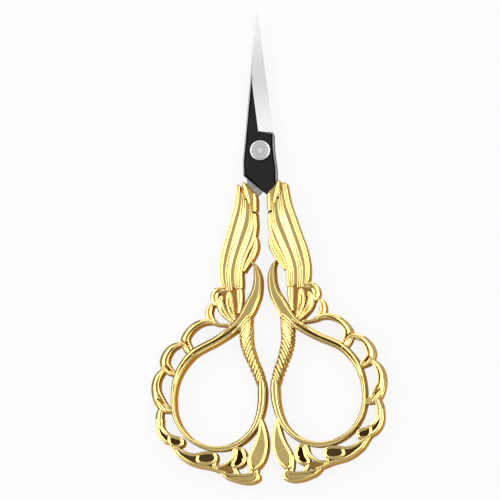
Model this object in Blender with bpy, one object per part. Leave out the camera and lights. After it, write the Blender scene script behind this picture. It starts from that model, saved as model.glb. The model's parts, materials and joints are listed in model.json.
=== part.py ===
"""Embroidery scissors that lie flat and closed, tips towards +Y, in metres, +Z up.

The two halves are alike: a blade with its tang held in a pierced, gold-plated casting. The rear half
is the front half turned over about its long axis, in the plane where the blades slide on each other.
The origin is the middle of the footprint, on the surface that the scissors lie on.
"""
import math

import bmesh
import bpy
from mathutils import Vector

# Reach of the two ends from the pivot axis, and the size of one casting
TIP_REACH = 0.0376
HANDLE_REACH = 0.0900
HANDLE_SPREAD = 0.0320
HANDLE_THICKNESS = 0.0058
BOW_GAP = 0.0010

# Blade
BLADE_THICKNESS = 0.0015
BLADE_GAP = 0.0003
EDGE_THICKNESS = 0.0002
TIP_WIDTH = 0.0005
BEVEL_LENGTH = 0.0163
BEVEL_WIDTH = 0.0037
SHOULDER_HEIGHT = 0.0050
SHOULDER_WIDTH = 0.0040
HEEL_WIDTH = 0.0050
HEEL_DROP = 0.0059
HEEL_CORNER = 0.0007
BLADE_CHAMFER = 0.00025

# Neck of the casting, where the blade's shoulder meets it, and the tang in its socket
NECK_LOW = (0.0016, -0.0117)
NECK_HIGH = (0.0047, -0.0081)
TANG_LENGTH = 0.0110
TANG_WIDTH = 0.0018
TANG_THICKNESS = 0.0009
TANG_INSET = 0.00015
TANG_LEAN = math.radians(6)
SOCKET_CLEARANCE = 0.0003

# Pivot: a barrel with a ringed head in front, and a slotted screw that enters it from behind
HEAD_DIAMETER = 0.0055
HEAD_HEIGHT = 0.0008
BARREL_DIAMETER = 0.0032
SCREW_DIAMETER = 0.0018
SCREW_LENGTH = 0.0026
SCREW_HEAD_DIAMETER = 0.0048
SCREW_HEAD_HEIGHT = 0.0006
SLOT_WIDTH = 0.0007
SLOT_DEPTH = 0.0003
FIT_CLEARANCE = 0.0003

# The casting was drawn in millimetres from the pivot axis, +Y towards the tips. Past the neck, the
# drawing stretches to the reach and the spread above.
DRAWN_NECK = (6.0, -17.0)
DRAWN_REACH = 90.05
DRAWN_SPREAD = 31.94
DRAWN_GAP = 1.0
MILLIMETRE = 0.001

# Half cross-sections of a strand, from its right wall over its crest to its left wall, as shares of
# its half width and of its half height. The underside is the same.
BAR = ((1, 0.45), (0.6, 1), (-0.6, 1), (-1, 0.45))
RIB = ((1, 0.45), (0.62, 0.86), (0, 1), (-0.62, 0.86), (-1, 0.45))
TWIG = ((1, 0.5), (0, 1), (-1, 0.5))
DISH = ((1, 0.6), (0.86, 1), (0.56, 0.86), (-0.56, 0.86), (-0.86, 1), (-1, 0.6))

# Strands of the casting: cross-section, half height as a share of the casting's, curve steps for each
# span, and a path of (x, y, half width)
STRANDS = {
    "bow": (BAR, 1.0, 2, (
        (7.4, -46.4, 0.8), (9.2, -48.0, 0.95), (11.5, -49.6, 0.9), (14.5, -51.15, 0.8),
        (17.6, -52.5, 0.85), (20.1, -54.0, 1.0), (22.2, -56.2, 1.05), (23.8, -58.4, 0.95),
        (25.0, -61.0, 0.8), (25.75, -64.0, 0.7), (25.95, -67.0, 0.65), (25.7, -70.2, 0.65),
        (24.4, -73.6, 0.65), (22.2, -76.6, 0.65), (19.4, -78.6, 0.65), (16.2, -79.8, 0.65),
        (13.0, -80.0, 0.7), (9.9, -79.3, 0.75), (7.0, -77.75, 0.75), (4.4, -75.1, 0.75),
        (2.85, -72.0, 0.8), (1.9, -68.5, 0.95), (1.65, -65.0, 1.15), (1.75, -62.0, 0.9))),
    "crescent": (DISH, 0.98, 2, (
        (3.2, -30.1, 0.15), (2.4, -31.5, 0.45), (1.95, -33.8, 0.85), (1.95, -36.0, 1.05),
        (2.6, -38.7, 1.4), (3.5, -40.8, 1.6), (4.9, -43.5, 1.65), (6.9, -45.9, 1.3),
        (9.0, -47.8, 1.1))),
    "rope": (BAR, 0.84, 1, (
        (6.0, -45.6, 1.6), (5.6, -48.0, 1.6), (5.6, -50.0, 1.6), (5.3, -52.8, 1.55),
        (4.6, -55.2, 1.5), (3.8, -57.3, 1.4), (2.8, -59.5, 1.3), (1.9, -62.3, 1.1))),
    "first_feather": (RIB, 1.0, 1, (
        (6.75, -9.1, 0.45), (6.8, -12.0, 0.85), (7.1, -15.0, 0.9), (7.9, -18.0, 0.9),
        (8.8, -21.0, 0.9), (9.7, -24.0, 0.95), (10.55, -26.8, 1.0), (11.3, -29.6, 0.95),
        (11.65, -32.4, 0.9), (11.5, -35.2, 0.85), (10.9, -37.6, 0.45))),
    "second_feather": (RIB, 0.98, 1, (
        (5.2, -11.0, 0.7), (5.05, -14.8, 1.25), (5.35, -17.4, 1.5), (6.05, -19.9, 1.6),
        (7.05, -22.9, 1.5), (8.2, -26.4, 1.4), (9.25, -29.9, 1.35), (9.8, -32.4, 1.3),
        (9.8, -35.2, 1.25), (9.55, -38.5, 0.6))),
    "third_feather": (RIB, 0.96, 1, (
        (3.1, -14.8, 0.6), (3.1, -17.4, 0.95), (3.5, -20.3, 1.15), (4.3, -22.9, 1.35),
        (5.3, -25.9, 1.35), (6.2, -28.0, 1.25), (7.0, -30.4, 1.2), (7.5, -33.2, 1.15),
        (7.45, -35.8, 1.0), (7.2, -37.8, 0.5))),
    "fourth_feather": (TWIG, 0.86, 1, (
        (2.1, -17.0, 0.45), (2.0, -20.3, 0.5), (2.5, -23.1, 0.55), (3.3, -24.9, 0.5))),
    "inner_leaf": (RIB, 0.84, 1, (
        (2.2, -23.3, 0.3), (2.65, -25.3, 1.05), (3.45, -27.6, 1.35), (4.6, -30.0, 1.25),
        (5.65, -32.7, 0.9), (6.2, -35.2, 0.6), (6.6, -37.6, 0.4))),
    "left_sepal": (TWIG, 0.8, 1, ((6.7, -36.9, 0.55), (6.5, -40.0, 0.65), (6.9, -43.8, 0.5))),
    "bud": (TWIG, 0.6, 1, ((8.2, -36.6, 1.3), (7.9, -40.0, 1.2), (7.7, -44.8, 0.7))),
    "middle_sepal": (TWIG, 0.84, 1, (
        (9.8, -37.8, 0.7), (9.6, -40.6, 0.85), (9.0, -43.2, 0.8), (8.3, -45.8, 0.6))),
    "right_sepal": (TWIG, 0.8, 2, (
        (12.6, -39.3, 0.5), (12.1, -41.3, 0.8), (11.0, -43.6, 0.65), (9.2, -45.8, 0.6),
        (8.6, -47.0, 0.5))),
    "upper_curl": (TWIG, 0.76, 2, (
        (10.6, -36.7, 0.45), (12.4, -36.7, 0.5), (14.0, -37.7, 0.6), (14.3, -39.4, 0.55),
        (13.3, -41.0, 0.5), (12.2, -41.6, 0.4))),
    "bridge": (TWIG, 0.6, 1, ((10.2, -37.2, 0.8), (10.9, -38.6, 0.7), (11.6, -40.4, 0.5))),
    "lower_curl": (TWIG, 0.76, 2, (
        (13.6, -40.4, 0.4), (15.1, -41.3, 0.6), (15.5, -43.1, 0.6), (14.8, -45.2, 0.55),
        (12.6, -46.5, 0.45), (9.3, -47.1, 0.5))),
    "scallop_1": (BAR, 0.86, 2, (
        (14.6, -45.7, 0.5), (17.2, -45.5, 0.5), (19.2, -46.3, 0.6), (21.1, -47.7, 0.7),
        (22.3, -49.4, 0.8), (22.1, -51.2, 1.1), (21.5, -53.0, 1.15), (20.9, -54.4, 0.8))),
    "scallop_2": (BAR, 0.84, 2, (
        (22.4, -50.9, 0.5), (24.6, -51.3, 0.55), (26.6, -52.4, 0.75), (28.0, -54.3, 0.85),
        (28.3, -56.2, 1.0), (27.2, -58.1, 0.95), (25.9, -59.1, 0.75), (24.6, -59.7, 0.5))),
    "scallop_3": (BAR, 0.86, 2, (
        (28.3, -57.9, 0.6), (30.2, -59.8, 0.75), (31.0, -61.8, 0.75), (31.1, -64.0, 0.85),
        (30.4, -66.3, 1.1), (29.2, -68.1, 1.05), (27.7, -69.0, 0.75), (25.9, -69.5, 0.5))),
    "scallop_4": (BAR, 0.84, 2, (
        (29.3, -68.6, 0.6), (30.2, -71.2, 0.6), (30.0, -73.7, 0.85), (28.9, -75.8, 1.15),
        (26.9, -77.2, 1.25), (24.8, -77.8, 0.95), (22.6, -77.2, 0.6))),
    "scallop_5": (BAR, 0.86, 2, (
        (25.8, -78.0, 0.7), (24.3, -80.4, 0.8), (22.2, -82.2, 1.0), (19.9, -83.2, 1.4),
        (17.3, -83.4, 1.75), (15.5, -82.5, 1.2), (15.3, -80.3, 0.7))),
    "scallop_6": (BAR, 0.82, 2, (
        (17.2, -84.0, 0.9), (15.0, -85.1, 0.85), (12.9, -85.8, 1.0), (11.0, -85.6, 1.2),
        (9.2, -84.1, 1.2), (7.95, -82.5, 1.15), (8.1, -80.8, 0.75), (8.9, -79.4, 0.5))),
    "boat_leaf": (DISH, 0.84, 2, (
        (13.8, -86.2, 0.35), (11.2, -87.0, 1.1), (8.6, -88.1, 1.25), (6.0, -88.6, 1.45),
        (4.1, -88.3, 1.3), (3.2, -88.0, 0.85))),
    "drop_leaf": (DISH, 0.92, 2, (
        (2.1, -72.3, 0.3), (1.9, -75.0, 0.65), (2.05, -78.0, 1.35), (2.95, -81.1, 2.0),
        (3.8, -84.0, 2.0), (4.4, -86.0, 1.4), (4.7, -87.4, 0.7))),
    "leaf_tie": (TWIG, 0.76, 1, ((4.4, -82.3, 0.8), (6.0, -83.3, 0.9), (8.3, -83.9, 0.9))),
    "leaf_side": (TWIG, 0.78, 1, ((5.9, -83.4, 0.8), (5.6, -85.0, 0.8), (5.2, -87.2, 0.8))),
    "leaf_foot": (TWIG, 0.74, 1, ((8.3, -83.4, 0.8), (8.6, -85.3, 0.85), (9.3, -87.3, 0.8))),
}

# Flat core under the feathers, which closes the grooves between them, and the neck block
CORE = ((1.9, -16.0), (4.6, -10.8), (7.0, -10.8), (8.2, -18.5), (11.0, -28.5), (11.6, -34.0),
        (10.8, -36.8), (6.8, -36.8), (5.6, -31.0), (2.7, -24.5), (2.0, -20.0))
CORE_HEIGHT = 0.66
NECK_BLOCK = ((5.3, -8.9), (5.6, -11.2), (5.4, -15.0), (3.8, -17.8), (1.6, -17.6))
NECK_HEIGHT = 0.82

# Turns of the rope: each crosses the rope from its upper left to its lower right
ROPE_TURNS = 7
ROPE_FIRST = ((4.6, -46.6), (7.1, -50.3))
ROPE_LAST = ((2.0, -59.3), (3.2, -62.7))
ROPE_TURN_WIDTH = 0.75
ROPE_HEIGHT = 0.95


def clear_scene():
    for item in list(bpy.data.objects):
        bpy.data.objects.remove(item, do_unlink=True)


def make_material(name, colour, metallic, roughness):
    material = bpy.data.materials.new(name)
    material.use_nodes = True
    shader = material.node_tree.nodes["Principled BSDF"]
    shader.inputs["Base Color"].default_value = (*colour, 1.0)
    shader.inputs["Metallic"].default_value = metallic
    shader.inputs["Roughness"].default_value = roughness
    material.diffuse_color = (*colour, 1.0)
    return material


def shape_from(name, bm):
    """Finish a bmesh as a shape object that other shapes can be joined to or cut from."""
    bmesh.ops.recalc_face_normals(bm, faces=bm.faces)
    mesh = bpy.data.meshes.new(name)
    bm.to_mesh(mesh)
    bm.free()
    shape = bpy.data.objects.new(name, mesh)
    bpy.context.collection.objects.link(shape)
    return shape


def join(shape, others, operation):
    """Unite the shape with all the others at once, or cut them from it, and remove them."""
    group = bpy.data.collections.new(operation.lower())
    for other in others:
        group.objects.link(other)
    modifier = shape.modifiers.new(operation.lower(), "BOOLEAN")
    modifier.operation = operation
    modifier.solver = "EXACT"
    modifier.operand_type = "COLLECTION"
    modifier.collection = group
    bpy.context.view_layer.update()
    graph = bpy.context.evaluated_depsgraph_get()
    mesh = bpy.data.meshes.new_from_object(shape.evaluated_get(graph))
    shape.modifiers.clear()
    shape.data = mesh
    for other in others:
        bpy.data.objects.remove(other, do_unlink=True)
    bpy.data.collections.remove(group)
    return shape


def plate(name, outline, low, high, chamfer=0.0, chamfered=()):
    """Extrude an outline from z low to z high, and chamfer the named edges of its top face."""
    bm = bmesh.new()
    verts = [bm.verts.new((x, y, low)) for x, y in outline]
    bottom = bm.faces.new(verts)
    grown = bmesh.ops.extrude_face_region(bm, geom=[bottom])
    top = [v for v in grown["geom"] if isinstance(v, bmesh.types.BMVert)]
    bmesh.ops.translate(bm, vec=(0, 0, high - low), verts=top)
    if chamfer:
        ends = [{outline[i], outline[(i + 1) % len(outline)]} for i in chamfered]
        edges = []
        for edge in bm.edges:
            if all(abs(v.co.z - high) < 1e-7 for v in edge.verts):
                places = [min(outline, key=lambda p, v=v: (Vector(p) - v.co.xy).length) for v in edge.verts]
                if set(places) in ends:
                    edges.append(edge)
        bmesh.ops.bevel(bm, geom=edges, offset=chamfer, segments=1, affect="EDGES",
                        profile=0.5, clamp_overlap=True, material=-1)
    return shape_from(name, bm)


def turned(name, profile, segments=36):
    """Turn a closed half outline of (radius, z) points about the Z axis."""
    bm = bmesh.new()
    verts = [bm.verts.new((radius, 0, z)) for radius, z in profile]
    edges = [bm.edges.new(pair) for pair in zip(verts, verts[1:])]
    bmesh.ops.spin(bm, geom=verts + edges, cent=(0, 0, 0), axis=(0, 0, 1), angle=2 * math.pi,
                   steps=segments, use_merge=True)
    bmesh.ops.remove_doubles(bm, verts=bm.verts, dist=1e-7)
    return shape_from(name, bm)


def lay(x, y):
    """Place a point of the casting's drawing, stretched past the neck."""
    neck_x, neck_y = DRAWN_NECK
    spread = HANDLE_SPREAD / MILLIMETRE
    reach = HANDLE_REACH / MILLIMETRE
    below = max(0.0, neck_y - y)
    if x > neck_x:
        x = neck_x + (x - neck_x) * (spread - neck_x) / (DRAWN_SPREAD - neck_x)
    x += 0.5 * (BOW_GAP / MILLIMETRE - DRAWN_GAP) * min(1.0, below / -neck_y)
    y += below - below * (reach + neck_y) / (DRAWN_REACH + neck_y)
    return x * MILLIMETRE, y * MILLIMETRE


def smooth(points, steps):
    """Pass a Catmull-Rom curve through the points, with this many steps for each span."""
    ends = [tuple(2 * a - b for a, b in zip(points[0], points[1]))]
    ends.append(tuple(2 * a - b for a, b in zip(points[-1], points[-2])))
    knots = [ends[0], *points, ends[1]]
    path = []
    for before, start, end, after in zip(knots, knots[1:], knots[2:], knots[3:]):
        for step in range(steps):
            t = step / steps
            path.append(tuple(
                0.5 * (2 * b + (c - a) * t + (2 * a - 5 * b + 4 * c - d) * t ** 2
                       + (3 * b - a - 3 * c + d) * t ** 3)
                for a, b, c, d in zip(before, start, end, after)))
    path.append(tuple(points[-1]))
    return path


def strand(name, section, height, steps, points):
    """Sweep a cross-section along a drawn path; its width follows the path, its height stays."""
    half_height = 0.5 * HANDLE_THICKNESS * height
    ring = list(section) + [(-across, -up) for across, up in section]
    path = [(Vector(lay(x, y)), width * MILLIMETRE) for x, y, width in smooth(points, steps)]
    bm = bmesh.new()
    end = None
    for index, (place, width) in enumerate(path):
        before = path[max(index - 1, 0)][0]
        after = path[min(index + 1, len(path) - 1)][0]
        along = (after - before).normalized()
        across = Vector((along.y, -along.x))
        corners = []
        for share, up in ring:
            flat = place + across * share * width
            corners.append((flat.x, flat.y, up * half_height))
        if end is None:
            end = bm.faces.new([bm.verts.new(corner) for corner in corners])
            last = corners
            continue
        grown = bmesh.ops.extrude_face_region(bm, geom=[end])
        if index > 1:
            bmesh.ops.delete(bm, geom=[end], context="FACES_ONLY")
        end = next(item for item in grown["geom"] if isinstance(item, bmesh.types.BMFace))
        for vert in end.verts:
            nearest = min(range(len(last)), key=lambda i, v=vert: (Vector(last[i]) - v.co).length)
            vert.co = corners[nearest]
        last = corners
    return shape_from(name, bm)


def rope_turns():
    """The raised turns of the rope, spaced evenly from the first to the last."""
    turns = []
    for index in range(ROPE_TURNS):
        share = index / (ROPE_TURNS - 1)
        start, end = (
            [a + (b - a) * share for a, b in zip(first, last)]
            for first, last in zip(ROPE_FIRST, ROPE_LAST))
        middle = [0.5 * (a + b) for a, b in zip(start, end)]
        path = ((*start, 0.35 * ROPE_TURN_WIDTH), (*middle, ROPE_TURN_WIDTH), (*end, 0.35 * ROPE_TURN_WIDTH))
        turns.append(strand(f"rope_turn_{index}", TWIG, ROPE_HEIGHT - 0.004 * index, 1, path))
    return turns


def neck_line(share, clearance=0.0):
    """A point on the neck's top edge, or on the line at a clearance towards the blade."""
    low, high = Vector(NECK_LOW), Vector(NECK_HIGH)
    along = (high - low).normalized()
    outward = Vector((-along.y, along.x))
    return low.lerp(high, share) + outward * clearance


def tang_outline(clearance=0.0, root_overlap=0.0):
    """The tang from inside the blade's shoulder to its end, grown by a clearance."""
    root = neck_line(0.55)
    down = Vector((math.sin(TANG_LEAN), -math.cos(TANG_LEAN)))
    across = Vector((down.y, -down.x))
    half = 0.5 * TANG_WIDTH + clearance
    top = root - down * root_overlap
    bottom = root + down * (TANG_LENGTH + clearance)
    corners = (top + across * half, top - across * half,
               bottom - across * half * 0.75, bottom + across * half * 0.75)
    return [tuple(corner) for corner in corners]


def handle_casting():
    """One casting: every strand, leaf and turn united into one body, with the tang's socket cut."""
    shapes = [strand(name, *values) for name, values in STRANDS.items()]
    shapes += rope_turns()
    half = 0.5 * HANDLE_THICKNESS
    core = [lay(x, y) for x, y in CORE]
    shapes.append(plate("core", core, -half * CORE_HEIGHT, half * CORE_HEIGHT))
    neck = [NECK_LOW, NECK_HIGH] + [lay(x, y) for x, y in NECK_BLOCK]
    shapes.append(plate("neck", neck, -half * NECK_HEIGHT, half * NECK_HEIGHT))
    casting = join(shapes[0], shapes[1:], "UNION")
    tang_low = 0.5 * BLADE_GAP + TANG_INSET
    socket = plate("socket", tang_outline(SOCKET_CLEARANCE, 3 * TANG_WIDTH),
                   tang_low - SOCKET_CLEARANCE, tang_low + TANG_THICKNESS + SOCKET_CLEARANCE)
    return join(casting, [socket], "DIFFERENCE").data


def blade_body():
    """One blade with its bevel, square shoulder, heel and tang."""
    low = 0.5 * BLADE_GAP
    high = low + BLADE_THICKNESS
    tip = Vector((0.5 * TIP_WIDTH, TIP_REACH))
    heel_top = Vector((0.1 * MILLIMETRE - HEEL_WIDTH, -0.5 * HEEL_DROP))
    spine = (tip - Vector((TIP_WIDTH, 0)) - heel_top).normalized()
    bevel_start = tip - Vector((TIP_WIDTH, 0)) - spine * BEVEL_LENGTH
    corner = HEEL_CORNER
    cheek = SHOULDER_WIDTH
    outline = [
        tuple(tip),
        (0.88 * cheek, SHOULDER_HEIGHT),
        (0.95 * cheek, SHOULDER_HEIGHT - 0.8 * corner),
        (0.98 * cheek, SHOULDER_HEIGHT - 2 * corner),
        (1.03 * cheek, 0.0),
        (0.9 * HEEL_WIDTH, -0.5 * HEEL_DROP),
        (0.9 * HEEL_WIDTH, -HEEL_DROP),
        tuple(neck_line(1.0, SOCKET_CLEARANCE)),
        tuple(neck_line(0.0, SOCKET_CLEARANCE)),
        (corner - HEEL_WIDTH, -HEEL_DROP - corner),
        (0.3 * corner - HEEL_WIDTH, -HEEL_DROP - 0.5 * corner),
        (-HEEL_WIDTH, -HEEL_DROP),
        tuple(heel_top),
        tuple(bevel_start),
        (tip.x - TIP_WIDTH, tip.y),
    ]
    blade = plate("blade", outline, low, high, BLADE_CHAMFER, chamfered=(2, 3, 4, 5, 8, 9, 10, 11, 12))
    tang_low = low + TANG_INSET
    tang = plate("tang", tang_outline(0.0, TANG_WIDTH), tang_low, tang_low + TANG_THICKNESS)
    blade = join(blade, [tang], "UNION")
    return join(blade, [ground_away(high, bevel_start), barrel_hole(low, high)], "DIFFERENCE").data


def ground_away(high, bevel_start):
    """The wedge that the grinding wheel takes off: it slopes from the bevel's border to the edge."""
    edge_foot = Vector((0.88 * SHOULDER_WIDTH, SHOULDER_HEIGHT))
    edge = (Vector((0.5 * TIP_WIDTH, TIP_REACH)) - edge_foot).normalized()
    away = Vector((edge.y, -edge.x))
    slope = (BLADE_THICKNESS - EDGE_THICKNESS) / BEVEL_WIDTH
    rise = (SHOULDER_HEIGHT - bevel_start.y) / edge.y
    border_foot = bevel_start + edge * rise
    lower = (edge_foot + edge * BLADE_CHAMFER - border_foot).normalized()
    beyond = 3 * BEVEL_WIDTH
    bm = bmesh.new()
    corners = (border_foot, border_foot + lower * beyond,
               border_foot + lower * beyond + edge * 2 * TIP_REACH, border_foot + edge * 2 * TIP_REACH)
    verts = []
    for place in corners:
        distance = (place - border_foot).dot(away)
        verts.append(bm.verts.new((place.x, place.y, high - slope * distance)))
    face = bm.faces.new(verts)
    grown = bmesh.ops.extrude_face_region(bm, geom=[face])
    top = [v for v in grown["geom"] if isinstance(v, bmesh.types.BMVert)]
    bmesh.ops.translate(bm, vec=(0, 0, 4 * BLADE_THICKNESS), verts=top)
    return shape_from("ground_away", bm)


def barrel_hole(low, high):
    radius = 0.5 * BARREL_DIAMETER + FIT_CLEARANCE
    margin = BLADE_THICKNESS
    profile = ((0, low - margin), (radius, low - margin), (radius, high + margin), (0, high + margin))
    return turned("barrel_hole", profile)


def pivot_barrel():
    """The barrel nut: ringed head in front of the blades, blind bore open at the back."""
    outer_face = 0.5 * BLADE_GAP + BLADE_THICKNESS
    seat = outer_face + FIT_CLEARANCE
    head = 0.5 * HEAD_DIAMETER
    barrel = 0.5 * BARREL_DIAMETER
    bore = 0.5 * SCREW_DIAMETER + FIT_CLEARANCE
    bore_end = SCREW_LENGTH - seat + FIT_CLEARANCE
    crown = 0.25 * HEAD_HEIGHT
    profile = (
        (0, bore_end), (bore, bore_end), (bore, -outer_face), (barrel, -outer_face), (barrel, seat),
        (head, seat), (head, seat + HEAD_HEIGHT - crown), (head - crown, seat + HEAD_HEIGHT),
        (0.72 * head, seat + HEAD_HEIGHT), (0.68 * head, seat + HEAD_HEIGHT - 0.4 * crown),
        (0.64 * head, seat + HEAD_HEIGHT), (0, seat + HEAD_HEIGHT))
    return turned("pivot_barrel", profile).data


def pivot_screw():
    """The screw from behind, with a straight slot across its head."""
    seat = 0.5 * BLADE_GAP + BLADE_THICKNESS + FIT_CLEARANCE
    head = 0.5 * SCREW_HEAD_DIAMETER
    shank = 0.5 * SCREW_DIAMETER
    back = seat + SCREW_HEAD_HEIGHT
    edge = 0.25 * SCREW_HEAD_HEIGHT
    profile = (
        (0, -back), (head - edge, -back), (head, edge - back), (head, -seat), (shank, -seat),
        (shank, SCREW_LENGTH - seat - edge), (shank - edge, SCREW_LENGTH - seat), (0, SCREW_LENGTH - seat))
    screw = turned("pivot_screw", profile)
    half = 0.5 * SLOT_WIDTH
    slot = plate("slot", ((-head * 1.2, -half), (head * 1.2, -half), (head * 1.2, half), (-head * 1.2, half)),
                 -back - SLOT_DEPTH, -back + SLOT_DEPTH)
    return join(screw, [slot], "DIFFERENCE").data


def place_piece(name, mesh, material, pivot, turned_over=False):
    piece = bpy.data.objects.new(name, mesh)
    bpy.context.collection.objects.link(piece)
    if not mesh.materials:
        mesh.materials.append(material)
    mesh.shade_smooth()
    mesh.set_sharp_from_angle(angle=math.radians(32))
    piece.parent = pivot
    if turned_over:
        piece.rotation_euler = (0, math.pi, 0)
    return piece


def build_scissors():
    clear_scene()
    gold = make_material("gold_plate", (0.83, 0.62, 0.27), 1.0, 0.22)
    coated = make_material("black_coated_steel", (0.03, 0.03, 0.03), 0.4, 0.3)
    steel = make_material("turned_steel", (0.72, 0.72, 0.71), 1.0, 0.25)
    pivot = bpy.data.objects.new("pivot_axis", None)
    bpy.context.collection.objects.link(pivot)
    pivot.location = (0, 0.5 * (HANDLE_REACH - TIP_REACH), 0.5 * HANDLE_THICKNESS)
    handle = handle_casting()
    blade = blade_body()
    barrel = pivot_barrel()
    screw = pivot_screw()
    for shape in [item for item in bpy.data.objects if item.type == "MESH"]:
        bpy.data.objects.remove(shape, do_unlink=True)
    place_piece("right_handle", handle, gold, pivot)
    place_piece("left_handle", handle, gold, pivot, turned_over=True)
    place_piece("front_blade", blade, coated, pivot)
    place_piece("rear_blade", blade, coated, pivot, turned_over=True)
    place_piece("pivot_barrel", barrel, steel, pivot)
    place_piece("pivot_screw", screw, steel, pivot)


build_scissors()
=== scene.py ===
"""Embroidery scissors with gold-plated castings, lying closed on a white table, tips towards +Y."""
import json
import math

import bmesh
import bpy
from mathutils import Matrix, Vector


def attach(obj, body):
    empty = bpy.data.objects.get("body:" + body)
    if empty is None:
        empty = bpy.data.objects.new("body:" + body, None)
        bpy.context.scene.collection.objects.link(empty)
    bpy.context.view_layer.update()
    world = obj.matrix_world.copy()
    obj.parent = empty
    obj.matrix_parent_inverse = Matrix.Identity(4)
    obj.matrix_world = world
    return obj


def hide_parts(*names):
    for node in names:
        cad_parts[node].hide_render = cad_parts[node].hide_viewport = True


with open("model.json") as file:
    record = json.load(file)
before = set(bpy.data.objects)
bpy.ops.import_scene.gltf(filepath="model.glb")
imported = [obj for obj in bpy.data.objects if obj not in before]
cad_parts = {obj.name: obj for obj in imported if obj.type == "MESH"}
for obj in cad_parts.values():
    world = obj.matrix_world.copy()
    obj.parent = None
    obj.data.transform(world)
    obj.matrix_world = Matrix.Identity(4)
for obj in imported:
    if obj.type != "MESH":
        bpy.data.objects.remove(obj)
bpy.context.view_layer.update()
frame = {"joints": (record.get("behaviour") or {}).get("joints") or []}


# Table, camera and studio light. The scissors lie on a white table under a light tent: large soft
# panels at the sides leave a dimmer gap overhead, which is what flat polished faces show.
MM = 0.001
PIVOT = Vector(frame["joints"][0]["pos_m"]) / MM


def in_place(point):
    """A point in millimetres from the pivot, in metres on the table."""
    return (Vector(point) + PIVOT) * MM


def node_tree(name, kind=None):
    """A new material, or a new node group when the kind is given, with its nodes."""
    if kind:
        return bpy.data.node_groups.new(name, kind)
    material = bpy.data.materials.new(name)
    material.use_nodes = True
    return material


def add_node(tree, kind, values=None, **settings):
    """A new node in the tree, with its settings made and its unlinked sockets filled."""
    node = tree.nodes.new(kind)
    for key, value in settings.items():
        setattr(node, key, value)
    for key, value in (values or {}).items():
        node.inputs[key].default_value = value
    return node


def plate_from(outline, low, high):
    """A flat plate in a new bmesh: the outline's face, extruded from z low to z high."""
    bm = bmesh.new()
    verts = [bm.verts.new((x, y, low)) for x, y in outline]
    face = bm.faces.new(verts)
    grown = bmesh.ops.extrude_face_region(bm, geom=[face])
    top = [item for item in grown["geom"] if isinstance(item, bmesh.types.BMVert)]
    bmesh.ops.translate(bm, vec=(0, 0, high - low), verts=top)
    bmesh.ops.recalc_face_normals(bm, faces=bm.faces)
    return bm


def object_from(name, bm):
    """A new object in the scene, made from the bmesh, which is used up."""
    mesh = bpy.data.meshes.new(name)
    bm.to_mesh(mesh)
    bm.free()
    thing = bpy.data.objects.new(name, mesh)
    bpy.context.scene.collection.objects.link(thing)
    return thing


TABLE_HALF, TABLE_DEPTH = 2.5, 0.01
TABLE_PAINT = (0.86, 0.86, 0.86, 1)
# Share of plain white in the table: as the camera sees it, and as polished metal mirrors it
WHITE_SEEN, WHITE_MIRRORED = 0.88, 0.20
table_sheet = plate_from([(-TABLE_HALF, -TABLE_HALF), (TABLE_HALF, -TABLE_HALF),
                          (TABLE_HALF, TABLE_HALF), (-TABLE_HALF, TABLE_HALF)], -TABLE_DEPTH, 0.0)
table = object_from("table", table_sheet)
white = node_tree("white_table")
tree = white.node_tree
paint = tree.nodes["Principled BSDF"]
paint.inputs["Base Color"].default_value = TABLE_PAINT
paint.inputs["Roughness"].default_value = 0.7
glow = add_node(tree, "ShaderNodeEmission", {"Color": (1, 1, 1, 1), "Strength": 1.0})
path = add_node(tree, "ShaderNodeLightPath")
direct = add_node(tree, "ShaderNodeMath", {1: WHITE_SEEN}, operation="MULTIPLY")
mirrored = add_node(tree, "ShaderNodeMath", {1: WHITE_MIRRORED}, operation="MULTIPLY")
share = add_node(tree, "ShaderNodeMath", operation="ADD")
mix = add_node(tree, "ShaderNodeMixShader")
tree.links.new(path.outputs["Is Camera Ray"], direct.inputs[0])
tree.links.new(path.outputs["Is Glossy Ray"], mirrored.inputs[0])
tree.links.new(direct.outputs[0], share.inputs[0])
tree.links.new(mirrored.outputs[0], share.inputs[1])
tree.links.new(share.outputs[0], mix.inputs["Fac"])
tree.links.new(paint.outputs[0], mix.inputs[1])
tree.links.new(glow.outputs[0], mix.inputs[2])
tree.links.new(mix.outputs[0], tree.nodes["Material Output"].inputs["Surface"])
table.data.materials.append(white)

# The tent's cloth gets brighter from the table upwards. The camera sees it as plain white.
TENT_FOOT, TENT_SHOULDER = 0.15, 0.6
TENT_DIM, TENT_BRIGHT = 0.14, 0.45
world = bpy.data.worlds.new("light_tent")
world.use_nodes = True
bpy.context.scene.world = world
tree = world.node_tree
tent = tree.nodes["Background"]
tent.inputs["Color"].default_value = (1, 1, 1, 1)
where = add_node(tree, "ShaderNodeTexCoord")
height = add_node(tree, "ShaderNodeSeparateXYZ")
fade = add_node(tree, "ShaderNodeMapRange", {"From Min": TENT_FOOT, "From Max": TENT_SHOULDER,
                                             "To Min": TENT_DIM, "To Max": TENT_BRIGHT})
path = add_node(tree, "ShaderNodeLightPath")
level = add_node(tree, "ShaderNodeMix", data_type="FLOAT")
level.inputs[3].default_value = 1.0
tree.links.new(where.outputs["Generated"], height.inputs[0])
tree.links.new(height.outputs["Z"], fade.inputs["Value"])
tree.links.new(path.outputs["Is Camera Ray"], level.inputs[0])
tree.links.new(fade.outputs[0], level.inputs[2])
tree.links.new(level.outputs[0], tent.inputs["Strength"])

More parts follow.
